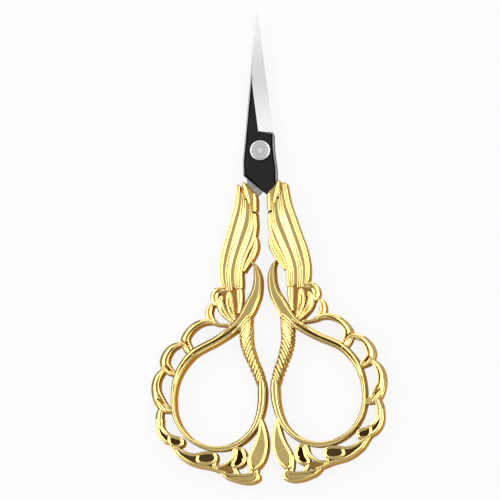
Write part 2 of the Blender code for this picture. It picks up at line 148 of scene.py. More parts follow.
# Each panel: its direction, width and length in metres, and the brightness of its cloth
PANELS = {
    "left_panel": ((-0.616, 0.12, 0.788), 1.25, 0.58, 2.15),
    "right_panel": ((0.407, 0.12, 0.914), 1.25, 0.60, 2.15),
    "head_panel": ((0.0, 0.86, 0.50), 0.90, 0.30, 1.4),
    "foot_panel": ((0.0, -0.86, 0.50), 0.90, 0.20, 1.0),
}
PANEL_DISTANCE = 1.1
for name, (direction, width, length, brightness) in PANELS.items():
    lamp = bpy.data.lights.new(name, "AREA")
    lamp.shape = "RECTANGLE"
    lamp.size, lamp.size_y = width, length
    lamp.energy = math.pi * width * length * brightness
    holder = bpy.data.objects.new(name, lamp)
    bpy.context.scene.collection.objects.link(holder)
    towards = Vector(direction).normalized()
    holder.location = towards * PANEL_DISTANCE
    holder.rotation_euler = towards.to_track_quat("Z", "Y").to_euler()

# The camera looks almost straight down. Widths and places are in millimetres.
CAMERA_LEAN = Vector((0.150, -0.120, 1.0)).normalized()
CAMERA_DISTANCE = 1.4
CAMERA_ROLL = math.radians(1.9)
VIEW_WIDTH = 134.4
AIM = in_place((-3.6, -26.9, 2.7))
lens = bpy.data.cameras.new("camera")
lens.sensor_width = 36.0
lens.lens = lens.sensor_width * CAMERA_DISTANCE / (VIEW_WIDTH * MM)
lens.clip_start, lens.clip_end = 0.05, 20.0
camera = bpy.data.objects.new("camera", lens)
bpy.context.scene.collection.objects.link(camera)
up = Vector((math.sin(CAMERA_ROLL), math.cos(CAMERA_ROLL), 0.0))
across = up.cross(CAMERA_LEAN).normalized()
over = CAMERA_LEAN.cross(across).normalized()
turn = Matrix((across, over, CAMERA_LEAN)).transposed().to_4x4()
camera.matrix_world = Matrix.Translation(AIM + CAMERA_LEAN * CAMERA_DISTANCE) @ turn
bpy.context.scene.camera = camera
bpy.context.scene.view_settings.view_transform = "Standard"


# The two castings. Each is one zinc casting with thin gold plate: a wing of feathers, a crossing
# strand, a rope twist, the finger bow and its pierced scallops. Both faces carry the same relief,
# and the left casting is the right one turned over.
# All lengths are in millimetres from the pivot, with +Y towards the tips.
HALF_THICKNESS = 2.9
# A strand's wall slopes out by the draft, and meets its top in a rounding
DRAFT = 0.05
ROUNDING, ROUNDING_SHARE = 0.14, 0.3
CORNER_CUT = 0.3
# Points of its top: those of the rim, from the edge inwards, then shares of what is left
RIM_STEPS = (0.0, 0.10, 0.20, 0.32, 0.46)
INNER_STEPS = (0.80, 0.58, 0.36, 0.14)
RIM_WIDTH = (0.16, 0.42)
FULL_WIDTH = 1.1
# A pocket's floor is level once it is this deep, and lies at this share of the top's fall
LEVEL_DEPTH, FLAT_LEVEL = 0.15, 0.55
# Strength of the wall's painted shade, a browning that stands in for the shaded table and gold it
# mirrors, at its foot, top and corner, and of the painted shade along its top edge
WALL_FOOT, WALL_TOP, WALL_CORNER = 1.0, 0.8, 0.1
EDGE_SHADE = 0.55
LEAST_WIDTH = 0.06
# A blunt end is rounded in steps at these angles, and sinks by up to this share
END_ANGLES, END_DROP = (0.45, 0.85, 1.15, 1.4), 0.12
# A line groove takes its full painted shade once it is this deep
CREASE_SHADE_DEPTH = 0.25
SAME_HEIGHT = 0.01
CAST_CORNER = math.radians(40)
PLAIN_KNOT = (0, 0, 0.5, 0, 0, 1)
TO_PLACE = Matrix.Translation(PIVOT * MM) @ Matrix.Scale(MM, 4)
SPOT = Matrix.Translation(PIVOT * MM)
TURNED_OVER = SPOT @ Matrix.Rotation(math.pi, 4, "Y") @ SPOT.inverted()


def smooth_path(knots, steps):
    """Pass a Catmull-Rom curve through the knots, with this many steps for each span."""
    first = tuple(2 * a - b for a, b in zip(knots[0], knots[1]))
    last = tuple(2 * a - b for a, b in zip(knots[-1], knots[-2]))
    line = [first, *knots, last]
    path = []
    for before, start, end, after in zip(line, line[1:], line[2:], line[3:]):
        for step in range(steps):
            t = step / steps
            path.append(tuple(
                0.5 * (2 * b + (c - a) * t + (2 * a - 5 * b + 4 * c - d) * t ** 2
                       + (3 * b - a - 3 * c + d) * t ** 3)
                for a, b, c, d in zip(before, start, end, after)))
    path.append(tuple(knots[-1]))
    return path


def top_line(width, height, fall, line, pocket, lines, tilt, crown, flare):
    """The upper half of a strand's cross-section: points (across, up, line depth, wall's painted
    shade).
    """
    rounding = min(ROUNDING, ROUNDING_SHARE * width)
    inner = width - rounding
    scale = min(1.0, inner / FULL_WIDTH)
    if not flare:
        fall *= min(1.0, inner)
    places = [inner - step * scale for step in RIM_STEPS]
    places += [places[-1] * step for step in INNER_STEPS]
    places += [-place for place in reversed(places)]
    low, high = RIM_WIDTH
    points = []
    for place in places:
        depth = (inner - abs(place)) / scale
        t = min(1.0, max(0.0, (depth - low) / (high - low)))
        hollow = pocket * t * t * (3 - 2 * t)
        groove = 0.0
        for offset, reach in lines:
            near = (place - offset * inner) / reach
            groove += line * max(0.0, 1 - near * near) ** 1.5
        level = min(1.0, hollow / LEVEL_DEPTH)
        crowned = abs(place / inner) ** crown
        if flare:
            crowned = math.sin(math.pi / 2 * crowned) ** 2
        crowned = (1 - level) * crowned + level * FLAT_LEVEL
        rise = height - fall * crowned - tilt * (inner - place)
        points.append((place, rise - hollow - groove, groove, 0.0))
    walls = []
    for side in (1, -1):
        edge = height - fall - tilt * inner * (1 - side)
        walls.append([
            (side * (width + DRAFT), 0.0, 0.0, WALL_FOOT),
            (side * width, edge - rounding, 0.0, WALL_TOP),
            (side * (width - CORNER_CUT * rounding), edge - CORNER_CUT * rounding, 0.0,
             WALL_CORNER)])
    return walls[0] + points + walls[1][::-1]


def strand(casting, knots, height, fall=0.25, lines=((0, 0.3),), steps=5, dark=0.0, tilt=0.0,
           crown=2.0, flare=False, blunt=(True, True)):
    """Sweep a strand along its knots (x, y, half width, line depth, pocket depth, height share).

    Height is a share of the half thickness, and fall and tilt lower the top's edges and one side.
    Each line is (place across the strand, reach), and dark paints shade into it by the line's
    depth. Crown and flare shape the top, and blunt says which ends are rounded off.
    """
    knots = [tuple(knot) + PLAIN_KNOT[len(knot):] for knot in knots]
    path = smooth_path(knots, steps)
    rows = []
    for index, (x, y, width, line, pocket, tall) in enumerate(path):
        before, after = path[max(index - 1, 0)], path[min(index + 1, len(path) - 1)]
        along = Vector((after[0] - before[0], after[1] - before[1])).normalized()
        rows.append([Vector((x, y)), along, max(width, LEAST_WIDTH), max(line, 0), max(pocket, 0),
                     tall])
    for end, sign, use in ((0, -1, blunt[0]), (-1, 1, blunt[1])):
        if not use:
            continue
        place, along, width, line, pocket, tall = rows[end]
        caps = [[place + along * sign * width * math.sin(angle), along, width * math.cos(angle),
                 line, pocket, tall * (1 - END_DROP * (1 - math.cos(angle)))]
                for angle in END_ANGLES]
        rows = rows + caps if sign > 0 else list(reversed(caps)) + rows
    bm = bmesh.new()
    shade_layer = bm.verts.layers.float.new("dark")
    wall_shade_layer = bm.verts.layers.float.new("side")
    ring = None
    for place, along, width, line, pocket, tall in rows:
        side = Vector((along.y, -along.x))
        top = top_line(width, HALF_THICKNESS * height * tall, fall, line, pocket, lines, tilt,
                       crown, flare)
        section = top + [(x, -z, *rest) for x, z, *rest in reversed(top[1:-1])]
        places = [(place.x + side.x * x, place.y + side.y * x, z) for x, z, *_ in section]
        if ring is None:
            ring = [bm.verts.new(corner) for corner in places]
            face = bm.faces.new(ring)
            first = True
        else:
            grown = bmesh.ops.extrude_face_region(bm, geom=[face])
            if not first:
                bmesh.ops.delete(bm, geom=[face], context="FACES_ONLY")
            first = False
            face = next(item for item in grown["geom"] if isinstance(item, bmesh.types.BMFace))
            fresh = set(face.verts)
            ring = [next(edge.other_vert(vert) for edge in vert.link_edges
                         if edge.other_vert(vert) in fresh)
                    for vert in ring]
            for vert, corner in zip(ring, places):
                vert.co = corner
        # Painted shade: the wall's strength from the section, a band along its top edge, and line
        # grooves darkened by their depth
        for vert, (_, _, groove, wall) in zip(ring, section):
            crease_shade = dark * min(1.0, groove / CREASE_SHADE_DEPTH)
            vert[wall_shade_layer] = wall
            vert[shade_layer] = EDGE_SHADE if wall == WALL_TOP else crease_shade
    bmesh.ops.recalc_face_normals(bm, faces=bm.faces)
    add_to(casting, bm)


def add_to(casting, part):
    """Add the part's faces to the casting. The part is used up."""
    mesh = bpy.data.meshes.new("part")
    part.to_mesh(mesh)
    part.free()
    casting.from_mesh(mesh)
    bpy.data.meshes.remove(mesh)


def floor(casting, outline, share, dark=0.0, pebble=0.0, side=0.0, soften=0.15):
    """A web of metal between the strands: a plate with softened edges, darkened with painted shade,
    given the walls' painted shade, or pebbled.
    """
    web = plate_from(outline, -HALF_THICKNESS * share, HALF_THICKNESS * share)
    rims = [edge for edge in web.edges
            if abs(edge.verts[0].co.z - edge.verts[1].co.z) < SAME_HEIGHT]
    bmesh.ops.bevel(web, geom=rims, offset=soften, segments=1, profile=0.5, affect="EDGES",
                    material=-1, clamp_overlap=True)
    for name, value in (("dark", dark), ("pebble", pebble), ("side", side)):
        layer = web.verts.layers.float.new(name)
        for vert in web.verts:
            vert[layer] = value
    add_to(casting, web)


casting = bmesh.new()
for name in ("dark", "pebble", "side"):
    casting.verts.layers.float.new(name)

# The wing: three long feathers stand on a level web, with a short one and a leaf inside them
FEATHER_CROWN = 0.8
strand(casting, (
    (6.35, -9.5, 0.5), (6.55, -12.1, 0.68), (7.1, -15.1, 0.7), (8.05, -18.1, 0.7),
    (8.95, -21.1, 0.7),
    (9.95, -24.1, 0.7), (10.8, -26.8, 0.72), (11.4, -29.4, 0.72), (11.7, -32.2, 0.7),
    (11.55, -35, 0.66),
    (11.05, -36.6, 0.55)),
    0.965, 0.195, crown=FEATHER_CROWN, flare=True)
strand(casting, (
    (5, -11.3, 0.5), (5, -14.2, 0.85), (5.3, -17, 1.1), (6, -19.7, 1.25), (7.05, -22.8, 1.2),
    (8.2, -26.3, 1.1), (9.2, -29.6, 1.02), (9.75, -32.3, 0.98), (9.75, -35.2, 0.92),
    (9.5, -37.3, 0.7)),
    1.0, 0.30, crown=FEATHER_CROWN, flare=True)
strand(casting, (
    (3.1, -14.7, 0.4), (2.9, -17.2, 0.75), (3.15, -20.1, 0.9), (4.1, -22.9, 0.98),
    (5.4, -26.2, 1.0),
    (6.65, -29.5, 0.95), (7.3, -32.4, 0.9), (7.45, -35.2, 0.85), (7.3, -36.9, 0.6)),
    0.985, 0.255, crown=FEATHER_CROWN, flare=True)
strand(casting, (
    (1.95, -17.3, 0.35), (1.9, -18.8, 0.45), (1.95, -20.4, 0.5), (2.4, -22.9, 0.5),
    (3.3, -25.2, 0.45),
    (4.6, -27.7, 0.35), (5.7, -30.3, 0.35), (6.25, -33, 0.35), (6.3, -35.5, 0.4), (6.4, -37, 0.35)),
    0.95, 0.3)
strand(casting, (
    (1.95, -23.6, 0.3), (2.1, -25.3, 0.75), (2.6, -27, 0.9), (3.6, -29, 0.85), (4.8, -30.9, 0.6),
    (5.5, -32.4, 0.3)),
    0.88, 0.35)
floor(casting, (
    (1.9, -16.6), (3.0, -13.6), (4.9, -11.2), (6.6, -10.6), (7.2, -14.8), (8.2, -18.2),
    (10.0, -24.0),
    (11.5, -29.2), (11.9, -32.2), (11.7, -35.2), (10.6, -36.9), (6.6, -36.9), (6.0, -33.0),
    (4.4, -28.6),
    (2.6, -25.0), (1.8, -21.0)), 0.90)

# The neck, faceted where it meets the blade
strand(casting, (
    (2.05, -11.9, 0.5), (1.95, -13.5, 0.62), (1.95, -15.6, 0.55), (2.1, -16.4, 0.4)),
    0.90, 0.35)
strand(casting, (
    (4.75, -8.75, 0.4), (4.4, -10.2, 0.75), (3.9, -11.9, 0.8), (3.5, -13.4, 0.6),
    (3.3, -14.4, 0.3)),
    0.95, 0.4)
floor(casting, (
    (1.6, -11.75), (4.65, -8.3), (5.2, -9.0), (5.6, -11.6), (5.2, -15.0), (3.8, -17.8),
    (1.6, -17.5)),
    0.82, soften=0.3)
# Two small slots, darkened in full with painted shade
floor(casting, ((1.45, -17.1), (2.6, -16.35), (2.75, -16.75), (1.6, -17.5)),
      0.93, dark=1.0, soften=0.05)
floor(casting, ((4.0, -13.2), (4.9, -12.7), (4.9, -13.0), (4.1, -13.5)),
      0.95, dark=1.0, soften=0.05)

# The bud under the wing: three sepals over a recess, and the two curls beside it
strand(casting, (
    (6.95, -37.42, 0.85), (6.9, -39.62, 0.85), (7.0, -41.72, 0.65), (7.35, -43.52, 0.4)),
    0.86, 0.3)
# The recess's floor takes the walls' painted shade in full
floor(casting, (
    (6.95, -36.72), (9.95, -36.97), (9.75, -40.17), (8.65, -44.95), (7.95, -45.34), (6.95, -42.62)),
    0.62, side=1.0)
strand(casting, (
    (9.8, -38.5, 0.85), (9.85, -40.2, 1.12, 0.2), (9.55, -42.17, 1.05, 0.25),
    (9.05, -43.96, 0.7, 0.15),
    (8.55, -45.35, 0.4)),
    0.90, 0.3, ((0.4, 0.2), (-0.2, 0.2)), dark=0.5)
strand(casting, (
    (12.0, -39.3, 0.7), (12.4, -40.3, 1.0, 0.1), (12.2, -41.61, 1.15, 0.15),
    (11.45, -43.4, 1, 0.2), (10.15, -44.98, 0.75, 0.15),
    (9.05, -46.16, 0.5)),
    0.86, 0.35, ((0.2, 0.22),), dark=0.4)
strand(casting, (
    (10.65, -37.19, 0.6), (12.05, -37.21, 0.85, 0.2), (13.25, -37.63, 1, 0.3),
    (13.85, -38.74, 1, 0.3),
    (13.75, -39.94, 0.95, 0.25), (13.05, -41.13, 0.6)),
    0.83, 0.25, ((0.15, 0.25),), dark=0.35)
strand(casting, (
    (14.05, -41.05, 0.4), (14.95, -41.56, 0.75, 0.15), (15.45, -42.67, 0.9, 0.3),
    (15.5, -43.87, 0.95, 0.3),
    (15.05, -44.96, 0.85, 0.25), (13.95, -46.04, 0.65, 0.1), (12.55, -46.62, 0.4),
    (10.15, -46.78, 0.45)),
    0.84, 0.25, ((0.1, 0.25),), dark=0.35)
floor(casting, (
    (9.95, -37.17), (12.55, -37.82), (11.55, -39.5), (10.75, -40.69), (10.25, -43.98),
    (9.55, -45.67),
    (8.95, -45.65)),
    0.60, side=1.0)

# The crossing strand and the finger bow in one sweep: a dished crescent beside the wing runs over
# the rope and on round the finger hole, with a groove along its middle that fades out and holds
# painted shade
strand(casting, (
    (3.3, -30, 0.12), (2.4, -31.5, 0.5, 0, 0.1), (1.95, -33.8, 0.95, 0, 0.22),
    (1.95, -36, 1.15, 0, 0.26),
    (2.5, -38.7, 1.4, 0, 0.28), (3.5, -40.8, 1.6, 0, 0.28), (4.7, -43.1, 1.68, 0, 0.28),
    (6.3, -45.4, 1.5, 0.05, 0.26), (8.3, -47.3, 1.3, 0.3, 0.18), (10.9, -49.2, 1.18, 0.5, 0.05),
    (14.3, -51.15, 1.1, 0.5), (17.5, -52.6, 1.1, 0.45), (20.1, -54.05, 1.1, 0.4),
    (22.25, -56.2, 1.05, 0.3),
    (23.85, -58.45, 0.95, 0.2), (25, -61, 0.8, 0.1), (25.7, -64, 0.66), (25.9, -67, 0.6),
    (25.65, -70.2, 0.6),
    (24.4, -73.6, 0.6), (22.2, -76.6, 0.6), (19.4, -78.6, 0.62), (16.2, -79.75, 0.65),
    (13, -80, 0.68),
    (9.9, -79.3, 0.72), (7, -77.75, 0.75), (4.4, -75.1, 0.8), (2.85, -72, 0.9), (1.95, -68.5, 1.05),
    (1.7, -65, 1.15), (1.75, -62.6, 0.95)),
    1.0, 0.34, ((0.08, 0.28),), steps=6, dark=0.8, crown=2.8, blunt=(False, True))

# The rope twist beside the finger hole: turns lie slantwise over a core and stand out of its wall
strand(casting, (
    (5.9, -45.2, 1.7), (5.6, -48, 1.75), (5.6, -50, 1.7), (5.3, -52.8, 1.6), (4.6, -55.2, 1.5),
    (3.85, -57.3, 1.35), (2.85, -59.5, 1.2), (1.95, -62, 1)),
    0.80, 0.5)
ROPE_STARTS = (
    (3.8, -43.6), (3.85, -45.4), (4.05, -46.6), (4.15, -48.3), (4.05, -50.7), (3.7, -53.4),
    (3.0, -55.9),
    (1.95, -58.6), (1.3, -60.6))
ROPE_ENDS = (
    (7.5, -47.4), (7.3, -49.3), (7.1, -51.7), (6.85, -53.3), (6.2, -55.4), (5.4, -57.3),
    (4.35, -59.8),
    (3.4, -62.1), (2.9, -63.5))
ROPE_STEPS = 2
# The turns get thinner towards the rope's foot. Each bows, and every other one gets more painted
# shade in its line.
TURN_WIDTH, TURN_THINNING = 0.45, 0.006
TURN_BOW, TURN_LINE = 0.35, 0.12
TURN_SHADES = (1.5, 0.5)
# Along each turn: share of its length, share of its width, share of its height
TURN_SHAPE = ((0.06, 0.7, 0.86), (0.15, 0.95, 0.95), (0.35, 1, 1.0), (0.65, 1, 1.0),
              (0.86, 1, 0.93), (0.95, 0.9, 0.82))
rope_starts = smooth_path(ROPE_STARTS, ROPE_STEPS)
rope_ends = smooth_path(ROPE_ENDS, ROPE_STEPS)
for number, (start, end) in enumerate(zip(rope_starts, rope_ends)):
    start, end = Vector(start), Vector(end)
    thick = TURN_WIDTH - TURN_THINNING * number
    knots = []
    for along, width, tall in TURN_SHAPE:
        place = start.lerp(end, along)
        bow = TURN_BOW * math.sin(math.pi * along)
        knots.append((place.x, place.y + bow, thick * width, TURN_LINE, 0, tall))
    strand(casting, knots, 0.95, 0.10, ((-0.85, 0.22),), steps=3, dark=TURN_SHADES[number % 2],
           tilt=0.30)

# The scallops round the bow: each is an arc whose foot curls on to the bow, with painted shade in
# its inner line
INNER_LINE = ((0.45, 0.2),)
SCALLOP_FALL = 0.22
SCALLOP_TILT = 0.24
strand(casting, (
    (14.25, -45.95, 0.45), (15.65, -45.63, 0.7, 0.1), (17.35, -45.71, 0.8, 0.25),
    (19.15, -46.44, 0.9, 0.3),
    (20.95, -47.87, 0.95, 0.3), (22.15, -49.69, 1.05, 0.3), (22.15, -51.39, 1.25, 0.35),
    (21.45, -52.98, 1.25, 0.3), (20.85, -54.17, 0.8)),
    0.94, SCALLOP_FALL, INNER_LINE, dark=0.8, tilt=SCALLOP_TILT)
strand(casting, (
    (22.35, -51.1, 0.5), (24.45, -51.53, 0.7, 0.1), (26.35, -52.57, 0.95, 0.3),
    (27.75, -54.59, 1.15, 0.3),
    (28.05, -56.5, 1.25, 0.3), (27.25, -58.08, 1.2, 0.35), (26.05, -58.96, 0.9, 0.15),
    (24.75, -59.64, 0.5)),
    0.93, SCALLOP_FALL, INNER_LINE, dark=0.8, tilt=SCALLOP_TILT)
strand(casting, (
    (28.35, -58.1, 0.6), (29.95, -59.93, 0.9, 0.15), (30.65, -62.05, 1.05, 0.3),
    (30.55, -64.24, 1.25, 0.3),
    (29.85, -66.33, 1.45, 0.3), (28.95, -67.91, 1.45, 0.2), (27.55, -68.79, 1),
    (25.95, -69.36, 0.5)),
    0.94, SCALLOP_FALL, INNER_LINE, dark=0.8, tilt=SCALLOP_TILT)

# Each foot ends in a raised bead with a slit beside it, darkened in full with painted shade
SLIT_WIDTH, SLIT_DEPTH = 0.14, 0.25
for bead, slit in (
        (((23.2, -50.9, 0.3), (22.4, -51.5, 0.42), (21.6, -52.2, 0.35)),
         ((22.7, -50.6), (21.9, -51.1), (21.3, -51.8))),
        (((28.5, -57.5, 0.35), (27.7, -58.1, 0.62), (26.9, -58.9, 0.55), (26.4, -59.4, 0.35)),
         ((28.0, -57.0), (27.2, -57.5), (26.5, -58.2))),
        (((30.2, -66.4, 0.4), (29.6, -67.5, 0.78), (28.75, -68.6, 0.85), (28.2, -69.2, 0.55)),
         ((30.3, -65.7), (29.6, -66.4), (28.95, -67.4)))):
    strand(casting, bead, 0.95, 0.40, steps=4)
    strand(casting, [(*knot, SLIT_WIDTH, SLIT_DEPTH) for knot in slit], 0.96, 0.02, ((0, 3.0),),
           steps=4, dark=1.0)

# The lower scallops are open trays: raised rims round pockets darkened with painted shade
RIM_FALL = 0.22
strand(casting, (
    (29.25, -68.32, 0.7), (29.9, -70.33, 0.9), (29.95, -72.13, 0.85), (29.85, -73.53, 0.5)),
    0.92, SCALLOP_FALL, tilt=SCALLOP_TILT)
strand(casting, (
    (30.4, -71.54, 0.51), (30.35, -74.14, 0.51), (29.7, -75.93, 0.51), (28.45, -77.41, 0.51),
    (27.05, -78.28, 0.51), (25.95, -79.66, 0.55), (24.85, -81.24, 0.55), (23.55, -82.32, 0.59),
    (21.95, -83.39, 0.59), (19.95, -84.25, 0.59), (17.85, -84.72, 0.59), (15.95, -85.28, 0.55),
    (14.25, -85.95, 0.51), (12.55, -86.57, 0.49)),
    0.88, RIM_FALL)
strand(casting, (
    (29.25, -71.52, 0.4), (29.35, -72.82, 0.4), (28.95, -74.21, 0.44), (27.75, -75.54, 0.46),
    (25.75, -76.41, 0.46), (24.25, -76.88, 0.46), (23.7, -77.72, 0.46), (24.15, -78.63, 0.46),
    (25.55, -78.85, 0.46), (26.95, -78.28, 0.43), (27.35, -77.09, 0.4), (27.25, -75.98, 0.37)),
    0.88, RIM_FALL, steps=4)
floor(casting, (
    (30.1, -71.04), (30.55, -73.05), (30.1, -75.34), (28.8, -77.25), (27.2, -78.35),
    (24.95, -78.94),
    (23.85, -77.92), (24.45, -76.93), (27.65, -75.69), (29.35, -74.42), (29.95, -72.73)),
    0.54, dark=0.95)
strand(casting, (
    (25.95, -79.06, 0.4), (24.35, -79.93, 0.43), (22.75, -80.85, 0.44), (20.75, -81.37, 0.44),
    (18.75, -81.08, 0.44), (16.75, -80.9, 0.44), (15.35, -81.22, 0.44), (14.8, -82.06, 0.44),
    (14.95, -83.11, 0.44), (15.85, -83.68, 0.44), (17.55, -83.81, 0.44), (19.15, -83.49, 0.44),
    (19.85, -82.65, 0.41), (19.55, -81.75, 0.37)),
    0.90, RIM_FALL, steps=4)
strand(casting, (
    (15.05, -83.16, 0.49), (15.25, -84.27, 0.51), (14.75, -85.26, 0.49)),
    0.86, RIM_FALL)
floor(casting, (
    (26.15, -79.66), (24.95, -81.24), (22.15, -83.39), (19.85, -84.25), (16.85, -84.8),
    (15.25, -84.87),
    (14.85, -82.26), (15.65, -81.28), (18.85, -81.13), (21.35, -81.48), (23.85, -80.32)),
    0.58, dark=0.9)
strand(casting, (
    (15.55, -84.57, 0.4), (13.95, -84.79, 0.44), (12.25, -84.26, 0.46), (10.9, -83.19, 0.46),
    (10.15, -81.98, 0.44), (9.85, -80.67, 0.44), (9.15, -79.76, 0.49)),
    0.86, RIM_FALL)
strand(casting, (
    (9.15, -80.06, 0.44), (7.85, -80.34, 0.44), (7.15, -81.42, 0.44), (6.95, -82.82, 0.44),
    (7.45, -84.13, 0.44), (8.55, -84.95, 0.44), (9.85, -84.97, 0.44), (10.25, -84.18, 0.4),
    (9.55, -82.97, 0.37), (9.25, -81.66, 0.37), (9.05, -80.56, 0.37)),
    0.88, RIM_FALL, steps=4)
floor(casting, (
    (7.75, -80.73), (9.75, -80.77), (10.05, -82.67), (10.65, -83.99), (10.35, -85.08),
    (8.35, -84.84),
    (7.15, -83.12), (7.25, -81.52)),
    0.5, dark=1.0)
# This floor takes most of the walls' painted shade, and a little of the pockets' darker painted
# shade
floor(casting, (
    (15.95, -84.88), (14.35, -85.95), (11.85, -86.61), (9.15, -85.96), (9.55, -85.07),
    (10.95, -84.49),
    (12.35, -84.62), (14.05, -85.05)),
    0.62, dark=0.2, side=0.9)
strand(casting, (
    (9.95, -85.07, 0.49), (9.55, -86.17, 0.51), (8.95, -87.15, 0.49)),
    0.78, RIM_FALL)

# The leaves at the foot: one long and upright, one like a boat. Their hollows are pebbled, with a
# little painted shade.
strand(casting, (
    (2.2, -72.73, 0.3), (1.65, -74.42, 0.36), (1.15, -76.71, 0.4), (0.97, -79.01, 0.42),
    (1.25, -81.42, 0.42),
    (2.05, -83.63, 0.42), (3.2, -85.15, 0.42), (4.45, -85.97, 0.4), (5.25, -85.49, 0.4),
    (5.5, -84.09, 0.38),
    (5.5, -82.49, 0.38), (4.85, -80.98, 0.38), (3.75, -78.86, 0.38), (2.9, -76.35, 0.36),
    (2.45, -74.24, 0.32),
    (2.2, -72.73, 0.25)),
    0.95, RIM_FALL, steps=4)
floor(casting, (
    (2.15, -73.63), (1.45, -76.62), (1.25, -79.02), (1.55, -81.42), (2.35, -83.54), (3.45, -84.96),
    (4.55, -85.58), (5.25, -84.09), (5.25, -82.49), (4.65, -80.98), (3.55, -78.86), (2.65, -76.34)),
    0.85, dark=0.12, pebble=1.0)
strand(casting, (
    (13.35, -86.73, 0.3), (12.05, -87.91, 0.38), (10.25, -88.68, 0.4), (8.25, -89.29, 0.42),
    (5.95, -89.5, 0.42), (4.35, -89.12, 0.42), (3.55, -88.41, 0.42), (3.65, -87.56, 0.42),
    (4.65, -87.13, 0.38),
    (7.15, -87.42, 0.35), (9.35, -87.31, 0.35), (11.35, -87, 0.33), (13.35, -86.63, 0.3)),
    0.90, RIM_FALL, steps=4)
floor(casting, (
    (12.55, -87.12), (10.25, -88.38), (8.25, -88.94), (5.95, -89.1), (4.45, -88.77), (3.95, -88.26),
    (4.55, -87.48), (7.15, -87.72), (9.35, -87.66), (11.55, -87.3)),
    0.79, dark=0.12, pebble=0.8)
strand(casting, ((4.9, -82.3, 0.5), (6.2, -83.0, 0.6), (7.4, -83.2, 0.5)), 0.76)
strand(casting, ((5.9, -83.2, 0.5), (5.7, -85.0, 0.6), (5.4, -87.2, 0.5)), 0.80)
strand(casting, ((4.0, -86.3, 0.6), (4.3, -87.4, 0.6)), 0.82)

bmesh.ops.transform(casting, matrix=TO_PLACE, verts=casting.verts)
right_casting = object_from("right_casting", casting)
left_casting = bpy.data.objects.new("left_casting", right_casting.data.copy())
bpy.context.scene.collection.objects.link(left_casting)
left_casting.data.transform(TURNED_OVER)
for piece in (right_casting, left_casting):
    piece.data.shade_smooth()
    piece.data.set_sharp_from_angle(angle=CAST_CORNER)


def socket(group, name, kind, direction="INPUT", value=None):
    """A named input or output on a node group, with its value if it has one."""
    made = group.interface.new_socket(name=name, in_out=direction, socket_type=kind)
    if value is not None:
        made.default_value = value


# Skin of a plated casting: low swells left by polishing, and fine pits where the wheel can't reach
skin = node_tree("cast_skin", "ShaderNodeTree")
socket(skin, "Swell", "NodeSocketFloat", value=1.0)
socket(skin, "Pits", "NodeSocketFloat", value=0.0)
socket(skin, "Height", "NodeSocketFloat", "OUTPUT")
socket(skin, "Smudge", "NodeSocketFloat", "OUTPUT")
given = add_node(skin, "NodeGroupInput")
result = add_node(skin, "NodeGroupOutput")
place = add_node(skin, "ShaderNodeTexCoord")
swell = add_node(skin, "ShaderNodeTexNoise", {"Scale": 650.0, "Detail": 2.0, "Roughness": 0.5})
pits = add_node(skin, "ShaderNodeTexNoise", {"Scale": 3200.0, "Detail": 3.0, "Roughness": 0.6})
smudge = add_node(skin, "ShaderNodeTexNoise", {"Scale": 240.0, "Detail": 5.0, "Roughness": 0.65})
swell_part = add_node(skin, "ShaderNodeMath", operation="MULTIPLY")
pits_part = add_node(skin, "ShaderNodeMath", operation="MULTIPLY")
both = add_node(skin, "ShaderNodeMath", operation="ADD")
for noise in (swell, pits, smudge):
    skin.links.new(place.outputs["Object"], noise.inputs["Vector"])
skin.links.new(swell.outputs["Fac"], swell_part.inputs[0])
skin.links.new(given.outputs["Swell"], swell_part.inputs[1])
skin.links.new(pits.outputs["Fac"], pits_part.inputs[0])
skin.links.new(given.outputs["Pits"], pits_part.inputs[1])
skin.links.new(swell_part.outputs[0], both.inputs[0])
skin.links.new(pits_part.outputs[0], both.inputs[1])
skin.links.new(both.outputs[0], result.inputs["Height"])
skin.links.new(smudge.outputs["Fac"], result.inputs["Smudge"])


# Gold plate in its two tones, its tint where it is seen aslant, and the painted shade that browns
# and darkens it
GOLD_PALE, GOLD_WARM = (0.98, 0.75, 0.30, 1), (0.95, 0.70, 0.25, 1)
GOLD_ASLANT = (0.90, 0.58, 0.22, 1)
# Painted shade: walls browned for the shaded table and gold they mirror, and pockets, slits and
# grooves darkened to near black
PAINTED_WALL_SHADE, PAINTED_POCKET_SHADE = (0.68, 0.37, 0.10, 1), (0.06, 0.022, 0.006, 1)
PEBBLE_PITS, PEBBLE_MATT = 0.9, 0.10


